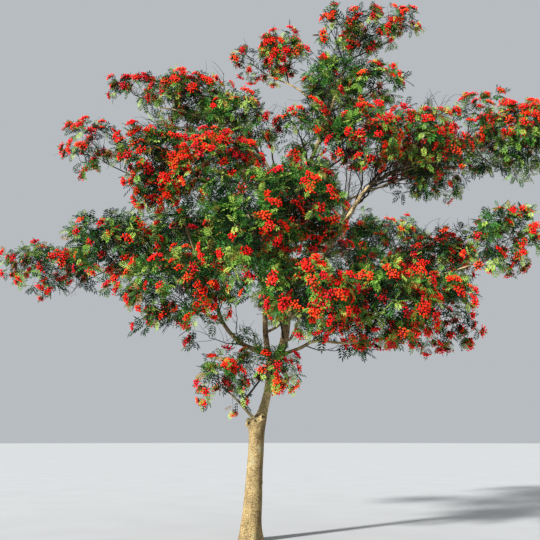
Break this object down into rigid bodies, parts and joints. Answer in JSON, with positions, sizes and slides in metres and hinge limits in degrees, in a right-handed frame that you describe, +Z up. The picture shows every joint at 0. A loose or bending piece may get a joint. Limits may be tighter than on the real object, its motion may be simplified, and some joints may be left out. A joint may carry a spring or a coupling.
{
  "type": "rowan tree",
  "caption": "Whole rowan tree in fruit, with a leaning trunk that forks into two leaders, spreading boughs and open masses of leaf sprays and red berries.",
  "frame": {"origin": "centre of the flat cut under the trunk, at ground level", "axes": "+Z up; +X towards the crown's arching right side as the picture shows it; +Y away from the picture's viewer"},
  "size_m": [9.6582, 7.9746, 9.3805],
  "materials": {
    "trunk_bark": "pale tan bark, lightly mottled, with shallow relief and fine cross lines",
    "bough_bark": "grey-brown bark, smoother and darker towards the tips",
    "foliage": "mid to dark green pinnate leaves with some yellow-green and bronze sprays, and heads of glossy scarlet berries"
  },
  "bodies": {
    "root": {"trunk": "trunk_bark", "leader_east": "bough_bark", "leader_west": "bough_bark", "limb_west": "bough_bark", "bough_west_mid": "bough_bark", "bough_west_far": "bough_bark", "bough_west_low": "bough_bark", "bough_west_high": "bough_bark", "bough_high_west": "bough_bark", "bough_east_arch": "bough_bark", "bough_east_far": "bough_bark", "bough_east_low": "bough_bark", "bough_east_mid": "bough_bark", "bough_front": "bough_bark", "bough_front_low": "bough_bark", "bough_low_west": "bough_bark", "bough_back_west": "bough_bark", "bough_back_east": "bough_bark", "bough_back_east_high": "bough_bark", "bough_back_mid": "bough_bark", "bough_back_low": "bough_bark", "mass_crest_top": "foliage", "mass_crest_west": "foliage", "mass_crest_east": "foliage", "mass_crest_foot": "foliage", "mass_high_east": "foliage", "mass_high_mid": "foliage", "mass_high_west": "foliage", "mass_high_west_tip": "foliage", "mass_leader_mid": "foliage", "mass_east_high_inner": "foliage", "mass_east_high": "foliage", "mass_east_tuft": "foliage", "mass_east_far": "foliage", "mass_west_high_tip": "foliage", "mass_west_high": "foliage", "mass_west_high_inner": "foliage", "mass_west_tips": "foliage", "mass_west_mid": "foliage", "mass_west_mid_inner": "foliage", "mass_west_low_high": "foliage", "mass_west_low_far": "foliage", "mass_west_end": "foliage", "mass_west_low": "foliage", "mass_front_high": "foliage", "mass_front_west": "foliage", "mass_front_low": "foliage", "mass_low_west": "foliage", "mass_low_mid": "foliage", "mass_east_low": "foliage", "mass_east_low_far": "foliage", "mass_east_mid": "foliage", "mass_east_mid_far": "foliage", "mass_back_high": "foliage", "mass_back_west_high": "foliage", "mass_back_east_high": "foliage", "mass_back_mid": "foliage", "mass_back_west": "foliage", "mass_back_east": "foliage", "mass_back_low": "foliage"}
  },
  "joints": []
}
